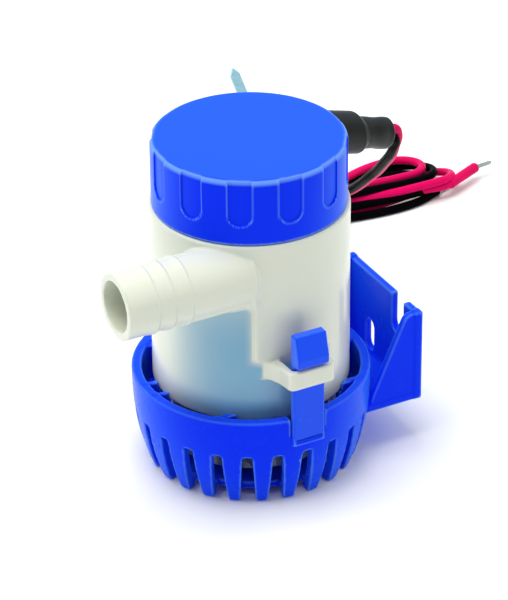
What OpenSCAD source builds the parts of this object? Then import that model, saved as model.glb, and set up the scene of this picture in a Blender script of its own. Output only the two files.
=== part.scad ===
// Cartridge bilge pump in a slotted snap-in strainer with a side bracket.
// Millimetres, +Z up. The origin is the centre of the strainer's foot ring on the floor.
// The bracket faces +Y, the two latches sit on +X and -X, the hose barb points along -Y.

/* [Strainer] */
// Outer radius of the strainer at its rim
rim_r = 35.2; // [34.8:0.1:35.6]
// Outer radius of the strainer at the floor
foot_r = 30.6; // [30:0.1:31.5]
// Height of the strainer rim above the floor
rim_z = 29.6; // [29:0.1:30.5]
// Thickness of the strainer wall
strainer_wall = 3; // [2.6:0.1:3]
// Number of inlet slots round the strainer
slot_count = 24; // [18:1:26]
// Height of the top of the inlet slots
slot_top_z = 17.5; // [15:0.5:18.5]
// Width of an inlet slot at its top
slot_top_w = 3; // [2.4:0.1:3.4]
// Width of an inlet slot at the floor
slot_foot_w = 4.6; // [3.6:0.1:5]

/* [Bracket] */
// Distance from the pump's axis to the back of the bracket
bracket_back_y = 46.3; // [45:0.1:48]
// Thickness of the bracket plate and of its two gussets
bracket_t = 2.4; // [2:0.1:2.8]
// Width of the bracket
bracket_w = 40.8; // [38:0.2:42]
// Height of the bracket's lower edge
bracket_low_z = 13.9; // [13:0.1:15]
// Height of the bracket's upper edge
bracket_top_z = 43.4; // [42:0.1:45]

/* [Latches] */
// Width of a latch arm
latch_w = 10; // [9:0.1:10]
// Height of the latch's flexing root
latch_root_z = 24; // [23.5:0.1:24.5]

/* [Pump housing] */
// Outer radius of the housing
housing_r = 29; // [28.6:0.1:29.2]
// Height of the shoulder that rests in the strainer
shoulder_z = 26.9; // [26.8:0.1:27.2]
// Height where the housing ends and the cap begins
housing_top_z = 83.7; // [82:0.1:84]
// Outer radius of the hose barb's pipe
barb_r = 9.8; // [9.6:0.1:10]
// Radius of the hose barb's bore
barb_bore_r = 7.4; // [7:0.1:7.6]
// Sideways offset of the hose barb from the pump's axis
barb_x = 19.5; // [19.2:0.1:19.8]
// Height of the hose barb's axis
barb_z = 72.6; // [72:0.1:73]
// Distance from the pump's axis to the mouth of the barb
barb_reach = 52.6; // [50:0.1:58]

/* [Motor cap] */
// Outer radius of the cap
cap_r = 28.2; // [28:0.1:28.4]
// Height of the cap's top face
cap_top_z = 104.1; // [103.5:0.1:105]
// Number of grip recesses round the cap
recess_count = 12; // [10:1:12]

/* [Motor] */
// Radius of the motor shaft
shaft_r = 1.6; // [1.5:0.05:1.6]
// Outer radius of the motor can
can_r = 14; // [13.5:0.1:14]
// Outer radius of the impeller
impeller_r = 16.5; // [15:0.5:17]

/* [Leads] */
// Diameter of one lead
lead_d = 2.8; // [2.4:0.1:2.9]

/* [Hidden] */

$fn = 96;
eps = 0.5;
gap = 0.3;
sealed_fit = 0.02;
running_fit = 0.05;

blue = [0.1, 0.22, 0.95];
white = [0.92, 0.93, 0.88];
black = [0.06, 0.06, 0.07];
red = [0.85, 0.05, 0.35];
steel = [0.7, 0.71, 0.73];
copper = [0.8, 0.45, 0.25];
bronze = [0.7, 0.55, 0.3];
carbon = [0.2, 0.2, 0.22];
turquoise = [0.6, 0.85, 0.9];

// Strainer
floor_low_z = 1.8;
floor_top_z = 4;
slot_root_r = 26.5;
foot_flare = 2.5;
flare_steps = 8;
notch_w = latch_w + 1;
support_x = 23;
support_in_y = 16.2;
support_t = 2;
support_top_z = shoulder_z - gap;
centring_top_z = 29.2;
rib_pair_x = 3.3;
rib_pair_in_r = 28.2;
rib_t = 1.6;

// Bracket
plate_front_y = bracket_back_y - bracket_t;
side_x = bracket_w / 2;
gusset_low_y = 28;
gusset_foot = [29.7, 18.2];
gusset_corner_r = 3;
notch_x = 9.8;
notch_r = 3.3;
notch_z = 34.4;
keyslot_x = -6.4;
keyslot_r = 2.5;
keyslot_low_z = 19.6;
keyslot_top_z = 25.4;

// Latches
arm_in_x = 33.4;
arm_out_x = 35.7;
pad_low_z = 20.6;
hook_z = 47.1;
head_top_z = 57.4;
head_out_x = 38.4;

// Loops that the latches hook over
loop_half_w = 7.2;
loop_out_x = 38;
loop_in_x = 36;
loop_low_z = 41;
loop_top_z = 46.8;

// Pump housing
shell_in_r = 26.8;
volute_out_r = 25;
chamber_r = 22.8;
chamber_low_z = 9.5;
chamber_top_z = 20;
housing_floor_z = 25;
neck_r = 25.2;
neck_in_r = 22.9;
neck_top_z = 92;
seal_groove_z = 87.6;
well_r = 16.25;
well_bore_r = can_r + 0.25;
well_top_z = 71.5;
rib_low_z = 46.8;
rib_low_y = -13.2;
rib_high_y = -4;
rib_corner_r = 0.8;
crown_x = 18.6;
crown_r = 9.8;
duct_x = [19, 26];
duct_y = [-11, -2.5];
duct_low_z = 12;
duct_top_z = barb_z + 5;
duct_wall = 2;
ridge_y = [-46.3, -41.2, -35.8];
ridge_len = 2.6;
ridge_rise = 0.35;
barb_join_y = -29.5;
stub_bore_r = 6.8;
bore_end_y = -11.2;
duct_mouth_y = -12;
plate_low_z = 7.5;
inlet_r = 9;
pump_foot_z = floor_top_z + gap;
pump_foot_pcr = 17.5;
seal_pocket_r = 5.5;
pilot_r = 6.1;
motor_screw_y = 8.4;

// Cap
cap_low_z = 83.9;
cap_bevel = 1.2;
cap_skirt_in_r = 25.4;
cap_roof_z = 101.9;
recess_w = 6.7;
recess_low_z = 90;
recess_depth = 0.6;
recess_start = 26.7;
recess_in_r = 24;
recess_reach = 8;

// Cable outlet: a spigot on the cap that points out and slightly down
outlet_turn = 101;
outlet_droop = 19.3;
outlet_r0 = 28;
outlet_z0 = 95.8;
spigot_r = 5;
spigot_len = 9.8;
spigot_bore_r = 3.3;
boot_start = -3;
boot_end = 26;

// Motor
can_low_z = 25.2;
can_top_z = 70;
can_t = 1.2;
pilot_low_z = 23.6;
pilot_top_z = 28.5;
screw_r = 1.25;
bell_sleeve_z = 67.6;
brush_box_z = [61.2, 68];
brush_z = [62, 65];
bearing_r = 4;
bearing_h = 4.4;
magnet_z = [34, 60];
armature_z = [36, 57];
pole_count = 3;
core_r = 9.6;
commutator_z = [60.8, 66.2];
commutator_r = 3.6;
bell_top_z = 74;
terminal_y = 7;

// Leads and hank
hank_x = -113;
hank_low_y = 40.6;
hank_low_r = 12.6;
hank_high = [-116.6, 121];
hank_high_r = 17.3;
hank_waist_r = 6;
hank_h = 9.6;
tie_y = 75;
tie_w = 3.6;
tie_t = 1.2;
tie_in = 5.75;
tie_top_z = 9.8;
ring_gap = 6;
tube_sides = 8;
black_route = [[-9.9, 51.3, 85.7], [-10.4, 53.6, 84.9], [-11.8, 55.3, 82.6], [-14.6, 56.2, 79.2],
    [-20, 58.2, 73.8], [-28.5, 61, 66.5], [-38.5, 64.4, 58.2], [-50, 68, 49.4],
    [-63, 72.6, 39.8], [-76, 77, 30.6], [-88, 80.4, 22.8], [-98, 82.6, 17.6],
    [-107, 84, 14.4], [-113.5, 83.4, 12.2], [-116.8, 80, 10]];
red_route = [[-10.2, 52.3, 88.5], [-11.2, 55, 87.2], [-13.2, 56.9, 83.4], [-16.4, 58, 78.6],
    [-21.8, 60.1, 72.4], [-30.3, 62.9, 65], [-40.3, 66.3, 56.7], [-51.8, 69.9, 47.9],
    [-64.8, 74.5, 38.3], [-77.8, 78.9, 29.1], [-89.6, 82.2, 21.1], [-99, 83, 14.9],
    [-105.8, 82, 12.1], [-110.5, 81.2, 11.3], [-113.6, 78.8, 10]];
sleeve_start = [-104.4, 131.7, 4.6];
sleeve_turn = 24;
sleeve_len = 15.5;
black_end = [-107.2, 128.5, 1.4];
inner_wire_r = 1;
inner_red_route = [[0, 7, 80.1], [0, 7.5, 84], [-1.5, 11, 91], [-3, 16, 96], [-4.2, 22.6, 97.4]];
inner_black_route = [[0, -7, 80.1], [-0.5, -6.5, 83], [-4, -2, 88], [-7, 8, 92], [-7, 16, 95.6],
    [-6.2, 22.4, 97.4]];

// Radius of the strainer's outside at height z: it flares quickly at the foot
function strainer_r(z) = foot_r + (rim_r - foot_r) * (1 - pow(1 - z / rim_z, foot_flare));

// Point on the cable outlet's axis at distance s from its start
function outlet_point(s) = [
    (outlet_r0 + s * cos(outlet_droop)) * cos(outlet_turn),
    (outlet_r0 + s * cos(outlet_droop)) * sin(outlet_turn),
    outlet_z0 - s * sin(outlet_droop)];

// A point at parameter t (0 to 1) between p1 and p2 on the smooth curve through four points
function spline_point(p0, p1, p2, p3, t) = 0.5 * (2 * p1 + (p2 - p0) * t
    + (2 * p0 - 5 * p1 + 4 * p2 - p3) * t * t + (3 * p1 - p0 - 3 * p2 + p3) * t * t * t);

// The route's points with in-between points, so that rings are about the spacing apart
function smooth_route(p, spacing) = [
    for (i = [0:len(p) - 2])
        let (n = max(1, round(norm(p[i + 1] - p[i]) / spacing)))
            for (k = [0:n - 1])
                spline_point(p[max(i - 1, 0)], p[i], p[i + 1], p[min(i + 2, len(p) - 1)], k / n),
    p[len(p) - 1]];

function unit(v) = v / norm(v);

// Direction of the route at point i
function heading(p, i) = unit(p[min(i + 1, len(p) - 1)] - p[max(i - 1, 0)]);

// One ring of the tube, square to the route
function ring(c, d, r) =
    let (side = unit(cross(d, [0, 0, 1])), up = cross(side, d))
        [for (k = [0:tube_sides - 1])
            c + r * (cos(k * 360 / tube_sides) * side + sin(k * 360 / tube_sides) * up)];

// A tube swept along a route as one closed polyhedron
module tube(route, r, spacing) {
    p = smooth_route(route, spacing);
    n = len(p);
    points = [for (i = [0:n - 1]) each ring(p[i], heading(p, i), r)];
    sides = [for (i = [0:n - 2]) for (k = [0:tube_sides - 1])
        let (a = i * tube_sides, b = (k + 1) % tube_sides)
            [a + k, a + b, a + tube_sides + b, a + tube_sides + k]];
    first = [for (k = [0:tube_sides - 1]) tube_sides - 1 - k];
    last = [for (k = [0:tube_sides - 1]) (n - 1) * tube_sides + k];
    polyhedron(points = points, faces = concat(sides, [first, last]), convexity = 6);
}

// A vertical ring with inner radius r_in, outer radius r_out, between heights z0 and z1
module ring_wall(r_in, r_out, z0, z1) {
    difference() {
        translate([0, 0, z0]) cylinder(r = r_out, h = z1 - z0);
        translate([0, 0, z0 - eps]) cylinder(r = r_in, h = z1 - z0 + 2 * eps);
    }
}

// A box from corner a to corner b
module block(a, b) {
    translate(a) cube(b - a);
}

// Moves children from the XY frame onto the cable outlet's axis, +Z outwards
module on_outlet(s) {
    translate(outlet_point(s)) rotate([0, 90 + outlet_droop, outlet_turn]) children();
}

// Solid of the strainer's outside, less inset
module strainer_body(inset, z0) {
    step = (rim_z - z0) / flare_steps;
    side = [for (k = [0:flare_steps])
        let (z = z0 + k * step) [strainer_r(z) - inset, z]];
    rotate_extrude() polygon(concat([[0, z0]], side, [[0, rim_z]]));
}

module strainer_slots() {
    for (k = [0:slot_count - 1])
        rotate([0, 0, k * 360 / slot_count])
            rotate([90, 0, 90])
                linear_extrude(height = rim_r + eps) slot_outline();
}

module slot_outline() {
    polygon([[-slot_foot_w / 2, -eps], [slot_foot_w / 2, -eps],
        [slot_top_w / 2, slot_top_z], [-slot_top_w / 2, slot_top_z]]);
}

// Four upright ribs of thickness t, parallel to Y, from in_y out to the strainer's rim
module rib_set(x, t, in_y, z0) {
    for (sx = [-1, 1], sy = [-1, 1])
        translate([sx * x, sy * (in_y + rim_r) / 2, (z0 + centring_top_z) / 2])
            cube([t, rim_r - in_y, centring_top_z - z0], center = true);
}

// Ribs inside the strainer that carry the pump's shoulder and centre it in the rim
module housing_supports() {
    difference() {
        intersection() {
            strainer_body(strainer_wall / 2, floor_top_z - eps);
            union() {
                rib_set(support_x, support_t, support_in_y, floor_low_z);
                rib_set(rib_pair_x, rib_t, rib_pair_in_r, slot_top_z);
            }
        }
        translate([0, 0, support_top_z]) cylinder(r = housing_r + gap, h = rim_z);
    }
}

// Side view of a gusset: from the strainer wall out to the bracket plate
module gusset_outline() {
    corner = [plate_front_y - 1, bracket_top_z - gusset_corner_r];
    polygon(concat(
        [[gusset_low_y, bracket_low_z], [bracket_back_y, bracket_low_z],
            [bracket_back_y, bracket_top_z]],
        [for (a = [90:14:146]) corner + gusset_corner_r * [cos(a), sin(a)]],
        [gusset_foot, [gusset_low_y, bracket_low_z + 1]]));
}

// Upright plate, a gusset at each side and a web along the bottom
module bracket() {
    block([-side_x, plate_front_y, bracket_low_z], [side_x, bracket_back_y, bracket_top_z]);
    difference() {
        union() {
            for (x = [-side_x, side_x - bracket_t])
                translate([x, 0, 0])
                    rotate([90, 0, 90])
                        linear_extrude(height = bracket_t) gusset_outline();
            block([-side_x, gusset_low_y, bracket_low_z],
                [side_x, bracket_back_y - eps, bracket_low_z + bracket_t]);
        }
        strainer_body(strainer_wall / 2, 0);
    }
}

// Open-topped notch and closed keyhole slot for two mounting screws
module bracket_cuts() {
    y0 = plate_front_y - eps;
    depth = bracket_t + 2 * eps;
    translate([notch_x, y0, notch_z]) rotate([-90, 0, 0]) cylinder(r = notch_r, h = depth);
    block([notch_x - notch_r, y0, notch_z], [notch_x + notch_r, y0 + depth, bracket_top_z + eps]);
    for (z = [keyslot_low_z, keyslot_top_z])
        translate([keyslot_x, y0, z]) rotate([-90, 0, 0]) cylinder(r = keyslot_r, h = depth);
    block([keyslot_x - keyslot_r, y0, keyslot_low_z],
        [keyslot_x + keyslot_r, y0 + depth, keyslot_top_z]);
}

// Raised root of each latch on the outside of the strainer
module latch_pads() {
    for (s = [0, 180])
        rotate([0, 0, s])
            block([arm_in_x - 1.4, -latch_w / 2, pad_low_z],
                [arm_out_x, latch_w / 2, latch_root_z - 0.4]);
}

module strainer_base() {
    color(blue)
    difference() {
        union() {
            difference() {
                strainer_body(0, 0);
                translate([0, 0, -eps]) strainer_core();
            }
            translate([0, 0, floor_low_z])
                cylinder(r = strainer_r(floor_low_z) - strainer_wall + 0.2,
                    h = floor_top_z - floor_low_z);
            housing_supports();
            bracket();
            latch_pads();
        }
        difference() {
            strainer_slots();
            translate([0, 0, -2 * eps]) cylinder(r = slot_root_r, h = slot_top_z + 3 * eps);
        }
        for (s = [0, 180])
            rotate([0, 0, s])
                block([arm_in_x - 3.2, -notch_w / 2, latch_root_z - 0.4],
                    [rim_r + 3, notch_w / 2, rim_z + eps]);
        bracket_cuts();
    }
}

// Hollow inside of the strainer
module strainer_core() {
    step = (rim_z + 2 * eps) / flare_steps;
    side = [for (k = [0:flare_steps])
        let (z = min(k * step, rim_z)) [strainer_r(z) - strainer_wall, k * step]];
    rotate_extrude() polygon(concat([[0, 0]], side, [[0, rim_z + 2 * eps]]));
}

// Side view of a latch: a flat arm with a sloping thumb head and a hook at its lower edge
module latch_outline() {
    polygon([[arm_in_x, latch_root_z], [arm_out_x, latch_root_z], [arm_out_x, hook_z],
        [head_out_x, hook_z + 0.9], [head_out_x, hook_z + 3.3], [head_out_x - 1.8, head_top_z],
        [arm_in_x + 0.2, head_top_z]]);
}

module latch() {
    color(blue)
    translate([0, latch_w / 2, 0])
        rotate([90, 0, 0])
            linear_extrude(height = latch_w) latch_outline();
}

module latch_front() {
    latch();
}

module latch_rear() {
    rotate([0, 0, 180]) latch();
}

// Plan view of one loop: two wings from the housing out to a cross bar
module loop_outline() {
    corner = 2;
    difference() {
        polygon(concat(
            [[25.5, 12.2], [26.9, 10.9], [29.4, 9.2], [32.4, 8]],
            [for (k = [0:4]) let (a = 90 - k * 22.5)
                [loop_out_x - corner + corner * cos(a), loop_half_w - corner + corner * sin(a)]],
            [for (k = [0:4]) let (a = -k * 22.5)
                [loop_out_x - corner + corner * cos(a), corner - loop_half_w + corner * sin(a)]],
            [[32.4, -8], [29.4, -9.2], [26.9, -10.9], [25.5, -12.2]]));
        polygon([[loop_in_x, 5.4], [30.6, 5.6], [26, 6.6], [24, 6.6],
            [24, -6.6], [26, -6.6], [30.6, -5.6], [loop_in_x, -5.4]]);
    }
}

module latch_loops() {
    for (s = [0, 180])
        rotate([0, 0, s])
            translate([0, 0, loop_low_z])
                linear_extrude(height = loop_top_z - loop_low_z) loop_outline();
}

// Outside rib that covers the riser: flat below the barb, arched over it
module riser_rib() {
    out_x = crown_x + crown_r;
    translate([0, 0, rib_low_z])
        linear_extrude(height = barb_z - rib_low_z)
            hull() {
                translate([crown_x, rib_low_y])
                    square([crown_r - rib_corner_r, rib_corner_r]);
                translate([crown_x, rib_low_y + rib_corner_r])
                    square([crown_r, rib_high_y - rib_low_y - rib_corner_r]);
                translate([out_x - rib_corner_r, rib_low_y + rib_corner_r])
                    circle(r = rib_corner_r);
            }
    translate([crown_x, rib_low_y, barb_z])
        rotate([-90, 0, 0]) cylinder(r = crown_r, h = rib_high_y - rib_low_y);
}

// Fine ridges that grip the hose: each rises slowly towards the pump
module barb_ridges() {
    for (y = ridge_y)
        translate([barb_x, y, barb_z])
            rotate([-90, 0, 0]) cylinder(r1 = barb_r - 0.1, r2 = barb_r + ridge_rise, h = ridge_len);
}

// A cylinder on the barb's axis between two places along Y
module on_barb(r, y0, y1) {
    translate([barb_x, y0, barb_z]) rotate([-90, 0, 0]) cylinder(r = r, h = y1 - y0);
}

module housing_outside() {
    rotate_extrude()
        polygon([[0, plate_low_z], [volute_out_r, plate_low_z], [volute_out_r, shoulder_z],
            [housing_r - 0.6, shoulder_z], [housing_r, shoulder_z + 0.6],
            [housing_r, housing_top_z], [neck_r, housing_top_z], [neck_r, neck_top_z],
            [0, neck_top_z]]);
}

// Inside of the housing above its floor
module housing_hollow() {
    rotate_extrude()
        polygon([[0, housing_floor_z], [volute_out_r - 1, housing_floor_z],
            [shell_in_r, shoulder_z + 2.6], [shell_in_r, housing_top_z - 3.2],
            [neck_in_r, housing_top_z - 0.7], [neck_in_r, neck_top_z + eps],
            [0, neck_top_z + eps]]);
}

// Square duct that leads water from the impeller chamber up to the barb
module riser_block() {
    intersection() {
        union() {
            block([duct_x[0] - duct_wall, duct_y[0] - duct_wall, duct_low_z - duct_wall],
                [40, duct_y[1] + duct_wall, duct_top_z + duct_wall]);
            on_barb(barb_r, barb_join_y, bore_end_y + duct_wall);
        }
        translate([0, 0, plate_low_z]) cylinder(r = housing_r - 0.8, h = housing_top_z - plate_low_z);
    }
}

module water_path() {
    translate([0, 0, chamber_low_z - eps])
        cylinder(r = chamber_r, h = chamber_top_z - chamber_low_z + eps);
    block([duct_x[0], duct_y[0], duct_low_z], [duct_x[1], duct_y[1], duct_top_z]);
    block([10, duct_y[0], duct_low_z], [duct_x[1], duct_y[1], chamber_top_z - 1]);
    block([duct_x[0], duct_mouth_y, barb_z - 5], [duct_x[1], duct_y[1], duct_top_z]);
    on_barb(stub_bore_r, barb_join_y - eps, bore_end_y);
    translate([0, 0, plate_low_z - eps]) cylinder(r = chamber_r + 1.1, h = 2 + eps);
}

module pump_housing() {
    color(white)
    difference() {
        union() {
            difference() {
                housing_outside();
                housing_hollow();
            }
            riser_block();
            difference() {
                union() {
                    riser_rib();
                    latch_loops();
                    on_barb(barb_r, barb_join_y, rib_low_y + eps);
                }
                translate([0, 0, housing_floor_z]) cylinder(r = shell_in_r, h = 90);
            }
            ring_wall(well_bore_r, well_r, housing_floor_z - 1, well_top_z);
        }
        water_path();
        translate([0, 0, housing_floor_z]) cylinder(r = well_bore_r, h = 70);
        translate([0, 0, chamber_top_z - eps]) cylinder(r = seal_pocket_r, h = 2.6 + eps);
        translate([0, 0, chamber_top_z]) cylinder(r = 2.2, h = 6);
        translate([0, 0, 23.4]) cylinder(r = pilot_r, h = 4);
        ring_wall(neck_r - 1, neck_r + 1, seal_groove_z - 0.9, seal_groove_z + 0.9);
        for (s = [-1, 1]) {
            translate([0, s * motor_screw_y, chamber_top_z - eps])
                cylinder(r = 1.3, h = 8);
            translate([0, s * motor_screw_y, chamber_top_z - 0.01])
                cylinder(r1 = 2.5, r2 = 1.3, h = 1.3);
        }
    }
}

// Outer length of the barb, in one with the housing's stub
module barb_pipe() {
    color(white)
    difference() {
        union() {
            on_barb(barb_r, -barb_reach, barb_join_y);
            barb_ridges();
        }
        on_barb(barb_bore_r, -barb_reach - eps, barb_join_y + eps);
    }
}

// Plate that closes the impeller chamber from below, with the inlet eye and four feet
module intake_plate() {
    color(white)
    difference() {
        union() {
            translate([0, 0, plate_low_z])
                cylinder(r = chamber_r + 1.1 - sealed_fit, h = chamber_low_z - plate_low_z);
            ring_wall(inlet_r, inlet_r + 1.6, plate_low_z - 1.2, plate_low_z + eps);
            for (a = [45:90:315])
                rotate([0, 0, a]) translate([pump_foot_pcr, 0, pump_foot_z])
                    cylinder(r = 2.4, h = plate_low_z - pump_foot_z + eps);
        }
        translate([0, 0, plate_low_z - 2]) cylinder(r = inlet_r, h = 6);
    }
}

// Twelve upright grip recesses, open at the top rim and round at their lower ends
module cap_recesses() {
    for (k = [0:recess_count - 1])
        rotate([0, 0, recess_start + k * 360 / recess_count])
            difference() {
                union() {
                    translate([recess_in_r, 0, recess_low_z + recess_w / 2])
                        rotate([0, 90, 0]) cylinder(d = recess_w, h = recess_reach);
                    block([recess_in_r, -recess_w / 2, recess_low_z + recess_w / 2],
                        [recess_in_r + recess_reach, recess_w / 2, cap_top_z + eps]);
                }
                translate([0, 0, cap_low_z])
                    cylinder(r = cap_r - recess_depth, h = 30);
            }
}

module motor_cap() {
    color(blue)
    difference() {
        union() {
            rotate_extrude()
                polygon([[0, cap_low_z], [cap_r, cap_low_z], [cap_r, cap_top_z - cap_bevel],
                    [cap_r - cap_bevel, cap_top_z], [0, cap_top_z]]);
            on_outlet(-4) cylinder(r = spigot_r, h = spigot_len + 4);
        }
        translate([0, 0, cap_low_z - eps])
            cylinder(r = cap_skirt_in_r, h = cap_roof_z - cap_low_z + eps);
        on_outlet(-8) cylinder(r = spigot_bore_r, h = spigot_len + 9);
        cap_recesses();
    }
}

// O-ring between the housing's neck and the cap
module cap_seal() {
    groove_r = neck_r - 1;
    color(black)
    translate([0, 0, seal_groove_z])
        rotate_extrude()
            translate([(groove_r + cap_skirt_in_r) / 2, 0]) circle(r = 0.58, $fn = 32);
}

// Heat-shrink boot over the spigot and the two leads
module cable_boot() {
    step_s = 11.4;
    taper_s = 14;
    big_r = 6.3;
    small_r = 4.7;
    color(black)
    difference() {
        on_outlet(0)
            rotate_extrude()
                polygon([[0, boot_start], [big_r, boot_start], [big_r, step_s],
                    [small_r, taper_s], [small_r, boot_end], [0, boot_end]]);
        on_outlet(boot_start - eps)
            cylinder(r = spigot_r + sealed_fit, h = spigot_len + 0.1 - boot_start + eps);
        cylinder(r = cap_r + gap, h = cap_top_z + 10);
    }
}

// Potting that seals the leads in the spigot
module cable_gland() {
    color(black)
    on_outlet(-2.2) cylinder(r = spigot_bore_r - sealed_fit, h = spigot_len + 2.2);
}

module motor_can() {
    color(steel)
    difference() {
        union() {
            translate([0, 0, can_low_z]) cylinder(r = can_r, h = can_top_z - can_low_z);
            translate([0, 0, pilot_low_z])
                cylinder(r = pilot_r - 0.1, h = pilot_top_z - pilot_low_z);
        }
        difference() {
            translate([0, 0, can_low_z + can_t]) cylinder(r = can_r - can_t, h = 60);
            translate([0, 0, can_low_z]) cylinder(r = pilot_r - 0.1, h = pilot_top_z - can_low_z);
        }
        translate([0, 0, 20]) cylinder(r = bearing_r + sealed_fit, h = 20);
        for (s = [-1, 1])
            translate([0, s * motor_screw_y, 24]) cylinder(r = screw_r + sealed_fit, h = 4);
    }
}

// Two arc magnets inside the can
module stator_magnets() {
    color(carbon)
    for (s = [0, 180])
        rotate([0, 0, s])
            intersection() {
                ring_wall(10.2, can_r - can_t - 0.1, magnet_z[0], magnet_z[1]);
                rotate([0, 0, 20])
                    translate([0, 0, magnet_z[0] - eps])
                        linear_extrude(height = 30)
                            polygon([[0, 0], [40, 0], [40, 40], [-13.7, 37.6]]);
            }
}

module end_bell() {
    color([0.85, 0.85, 0.8])
    difference() {
        union() {
            translate([0, 0, can_top_z]) cylinder(r = can_r, h = bell_top_z - can_top_z);
            translate([0, 0, bell_sleeve_z])
                cylinder(r = can_r - can_t - sealed_fit, h = can_top_z - bell_sleeve_z + eps);
            for (s = [-1, 1])
                block([s > 0 ? 3.9 : -8.4, -2.6, brush_box_z[0]],
                    [s > 0 ? 8.4 : -3.9, 2.6, brush_box_z[1]]);
        }
        translate([0, 0, 60]) cylinder(r = bearing_r + sealed_fit, h = 20);
        block([-8, -1.5 - running_fit, brush_z[0] - 2 * running_fit],
            [8, 1.5 + running_fit, brush_z[1] + 2 * running_fit]);
        for (s = [-1, 1])
            block([-0.3, s * terminal_y - 2.45, 60], [0.3, s * terminal_y + 2.45, 80]);
    }
}

// Carbon brushes, one on each side of the commutator
module brushes() {
    color(carbon)
    for (s = [0, 180])
        rotate([0, 0, s])
            difference() {
                block([3, -1.5, brush_z[0]], [7.2, 1.5, brush_z[1]]);
                translate([0, 0, 60]) cylinder(r = commutator_r + running_fit, h = 8);
            }
}

// Leaf springs that press the brushes inwards
module brush_springs() {
    color(copper)
    for (s = [0, 180])
        rotate([0, 0, s])
            block([7.25, -1.2, brush_z[0] + 0.2], [7.6, 1.2, brush_z[1] - 0.2]);
}

// Two flat tabs on the end bell
module terminals() {
    color(copper)
    for (s = [-1, 1])
        block([-0.27, s * terminal_y - 2.4, 68.4], [0.27, s * terminal_y + 2.4, 80]);
}

module bearing(z0) {
    color(bronze)
    ring_wall(shaft_r + running_fit, bearing_r, z0, z0 + bearing_h);
}

module lower_bearing() {
    bearing(23.8);
}

module upper_bearing() {
    bearing(68.6);
}

// Countersunk screws that hold the motor to the housing floor
module motor_screws() {
    color(steel)
    for (s = [-1, 1])
        translate([0, s * motor_screw_y, chamber_top_z]) {
            cylinder(r1 = 2.4, r2 = screw_r, h = 1.2);
            translate([0, 0, 1]) cylinder(r = screw_r, h = 6.5);
        }
}

// Lip seal round the shaft, above the impeller
module shaft_seal() {
    color(black)
    ring_wall(shaft_r + running_fit, seal_pocket_r - sealed_fit, chamber_top_z, chamber_top_z + 2.5);
}

// Wires from the motor's terminals to the potting in the spigot
module inner_red_wire() {
    color(red) tube(inner_red_route, inner_wire_r, ring_gap / 2);
}

module inner_black_wire() {
    color(black) tube(inner_black_route, inner_wire_r, ring_gap / 2);
}

module motor_shaft() {
    color(steel)
    translate([0, 0, 11]) cylinder(r = shaft_r, h = 62.8);
}

// Plan view of one backward-curved vane, from the hub out to the impeller's edge
module vane_outline() {
    bend_r = 12;
    thick = 1.4;
    sweep = 68;
    hub_end = [3.4, 0];
    outer = [for (k = [0:8]) let (a = k * sweep / 8)
        hub_end + [bend_r * sin(a), bend_r * (1 - cos(a))]];
    inner = [for (k = [8:-1:0]) let (a = k * sweep / 8)
        hub_end + [(bend_r - thick) * sin(a), bend_r - (bend_r - thick) * cos(a)]];
    polygon(concat(outer, inner));
}

// Open impeller: a disc with a hub and five backward-curved vanes below it
module impeller() {
    color(white)
    difference() {
        union() {
            translate([0, 0, 17.8]) cylinder(r = impeller_r, h = 1.6);
            translate([0, 0, 11.2]) cylinder(r = 4.4, h = 8.2);
            for (a = [0:72:288])
                rotate([0, 0, a])
                    translate([0, 0, 11.4]) linear_extrude(height = 7) vane_outline();
        }
        translate([0, 0, 9]) cylinder(r = shaft_r, h = 12);
    }
}

// Plan view of one armature pole: a straight tooth with a curved shoe
module pole_outline() {
    shoe_in_r = 7.9;
    shoe_angle = 48;
    tooth_angle = asin(2 / shoe_in_r);
    outer = [for (k = [-8:8]) let (a = k * shoe_angle / 8) core_r * [cos(a), sin(a)]];
    upper = [for (k = [0:4]) let (a = shoe_angle + (tooth_angle - shoe_angle) * k / 4)
        shoe_in_r * [cos(a), sin(a)]];
    lower = [for (k = [4:-1:0]) let (a = shoe_angle + (tooth_angle - shoe_angle) * k / 4)
        shoe_in_r * [cos(a), -sin(a)]];
    polygon(concat(outer, upper, [[2.6, 2], [2.6, -2]], lower));
}

// Three-pole armature stack
module armature_core() {
    stack_h = armature_z[1] - armature_z[0];
    color(steel)
    difference() {
        translate([0, 0, armature_z[0]]) {
            cylinder(r = 3.8, h = stack_h);
            for (a = [0:360 / pole_count:359])
                rotate([0, 0, a]) linear_extrude(height = stack_h) pole_outline();
        }
        translate([0, 0, armature_z[0] - eps]) cylinder(r = shaft_r, h = stack_h + 2 * eps);
    }
}

// One coil round each pole
module armature_windings() {
    color(copper)
    for (a = [0:360 / pole_count:359])
        rotate([0, 0, a])
            difference() {
                block([4.4, -4.2, armature_z[0] - 2], [7, 4.2, armature_z[1] + 2]);
                block([4, -2.05, armature_z[0] - 0.05], [8, 2.05, armature_z[1] + 0.05]);
                difference() {
                    translate([0, 0, armature_z[0] - 3]) cylinder(r = 20, h = 30);
                    translate([0, 0, armature_z[0] - 4]) cylinder(r = 7.8, h = 32);
                }
            }
}

// Copper commutator with three segments
module commutator() {
    color(copper)
    difference() {
        ring_wall(shaft_r, commutator_r, commutator_z[0], commutator_z[1]);
        for (a = [30:120:270])
            rotate([0, 0, a])
                block([shaft_r + 1, -0.2, commutator_z[0] - eps], [6, 0.2, commutator_z[1] + eps]);
    }
}

module red_lead() {
    color(red) tube(red_route, lead_d / 2, ring_gap);
}

module black_lead() {
    color(black) tube(black_route, lead_d / 2, ring_gap);
}

// Share of the way from 0 to 1, slow at both ends
function ease(t) = (1 - cos(180 * t)) / 2;

// One station of the hank's outline between the tie and the end at height y
function hank_side(sign, x_end, y_end, r_end) = [for (k = [0:8])
    let (t = k / 8, f = ease(t))
        [hank_x + (x_end - hank_x) * f + sign * (hank_waist_r + (r_end - hank_waist_r) * f),
            tie_y + (y_end - tie_y) * t]];

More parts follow.
